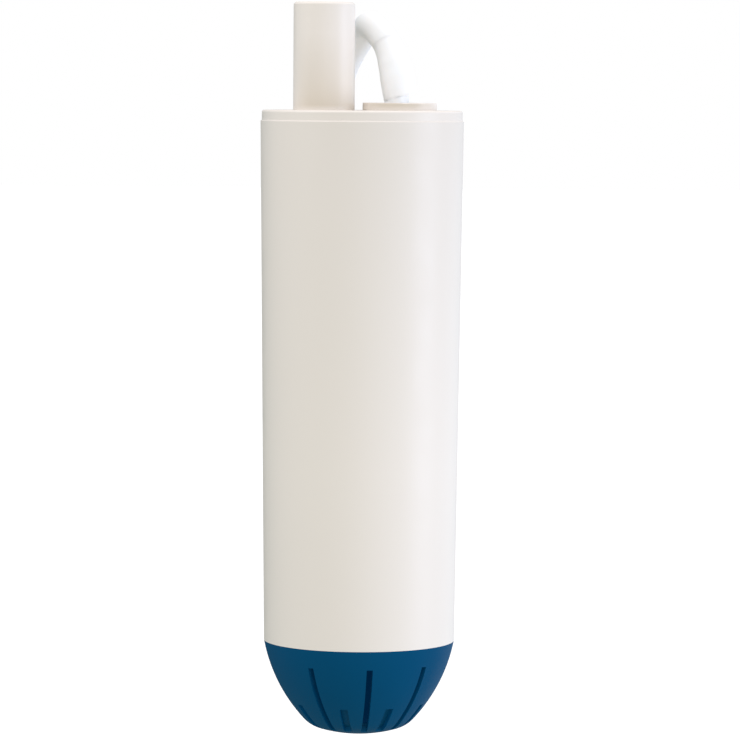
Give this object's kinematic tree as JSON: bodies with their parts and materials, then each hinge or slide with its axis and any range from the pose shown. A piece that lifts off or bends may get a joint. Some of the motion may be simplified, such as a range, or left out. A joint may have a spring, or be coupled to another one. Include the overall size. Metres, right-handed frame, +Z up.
{
  "type": "submersible bilge pump",
  "caption": "Slim upright submersible pump: white tapered casing, blue slotted dome strainer, hose tail and cable on top.",
  "frame": {"origin": "foot of the hose tail, on its axis, in the cap's top face", "axes": "+Z up along the hose tail and the pump, +X from the hose tail towards the cable gland, +Y to the back"},
  "size_m": [0.0396, 0.0701, 0.1434],
  "materials": {
    "casing_white": "smooth moulded warm white plastic, slight sheen",
    "cap_white": "smooth moulded warm white plastic",
    "strainer_blue": "deep blue moulded plastic, satin",
    "inner_white": "plain moulded plastic",
    "impeller_grey": "moulded acetal",
    "seal_black": "nitrile rubber",
    "gland_white": "soft moulded relief",
    "cable_white": "soft white cable sheath",
    "tie_grey": "woven hook and loop strap",
    "core_brown": "wire insulation",
    "core_blue": "wire insulation",
    "tinned_copper": "tinned strands",
    "zinc_steel": "zinc plated steel",
    "ground_steel": "ground steel",
    "lamination_steel": "stacked laminations",
    "ferrite": "sintered ferrite",
    "bell_black": "glass filled plastic",
    "bronze": "sintered bronze",
    "tinned_brass": "pressed brass",
    "spring_brass": "phosphor bronze strip",
    "bare_copper": "turned copper",
    "enamelled_copper": "enamelled wire",
    "ceramic_ochre": "dipped ceramic",
    "washer_nylon": "nylon",
    "carbon": "pressed carbon"
  },
  "bodies": {
    "housing": {"top_cap": "cap_white", "outlet_spigot": "cap_white", "casing": "casing_white", "inlet_plate": "inner_white", "diffuser_ring": "inner_white", "motor_capsule": "inner_white", "capsule_lid": "inner_white", "shaft_seal": "seal_black", "cap_o_ring": "seal_black", "neck_o_ring": "seal_black", "capsule_o_ring": "seal_black", "cable_gland": "gland_white", "cable": "cable_white", "cable_hank": "cable_white", "cable_end": "cable_white", "hank_tie": "tie_grey", "core_brown": "core_brown", "core_blue": "core_blue", "lead_brown": "core_brown", "lead_blue": "core_blue", "bare_strands": "tinned_copper", "motor_can": "zinc_steel", "magnet_a": "ferrite", "magnet_b": "ferrite", "magnet_clips": "zinc_steel", "end_bell": "bell_black", "front_bearing": "bronze", "rear_bearing": "bronze", "terminal_a": "tinned_brass", "terminal_b": "tinned_brass", "suppressor": "ceramic_ochre", "motor_spacer": "inner_white"},
    "rotor": {"motor_shaft": "ground_steel", "armature_core": "lamination_steel", "winding_a": "enamelled_copper", "winding_b": "enamelled_copper", "winding_c": "enamelled_copper", "commutator_hub": "bell_black", "commutator_segments": "bare_copper", "rotor_washers": "washer_nylon", "impeller": "impeller_grey"},
    "strainer": {"strainer": "strainer_blue"},
    "brush_a_arm": {"brush_a": "carbon", "brush_leaf_a": "spring_brass"},
    "brush_b_arm": {"brush_b": "carbon", "brush_leaf_b": "spring_brass"}
  },
  "joints": [
    {"name": "rotor_spin", "type": "hinge", "parent": "housing", "child": "rotor", "pos_m": [0.0075, 0, -0.06], "axis": [0, 0, 1], "continuous": true},
    {"name": "strainer_pull", "type": "slide", "parent": "housing", "child": "strainer", "axis": [0, 0, -1], "range_m": [0, 0.03]},
    {"name": "brush_a_swing", "type": "hinge", "parent": "housing", "child": "brush_a_arm", "pos_m": [0.01333, -0.0075, -0.0532], "axis": [0, 0, -1], "range_deg": [0, 5], "stiffness_Nm_per_rad": 0.004, "springref_deg": -28.65},
    {"name": "brush_b_swing", "type": "hinge", "parent": "housing", "child": "brush_b_arm", "pos_m": [0.00168, 0.0075, -0.0532], "axis": [0, 0, -1], "range_deg": [0, 5], "stiffness_Nm_per_rad": 0.004, "springref_deg": -28.65}
  ]
}
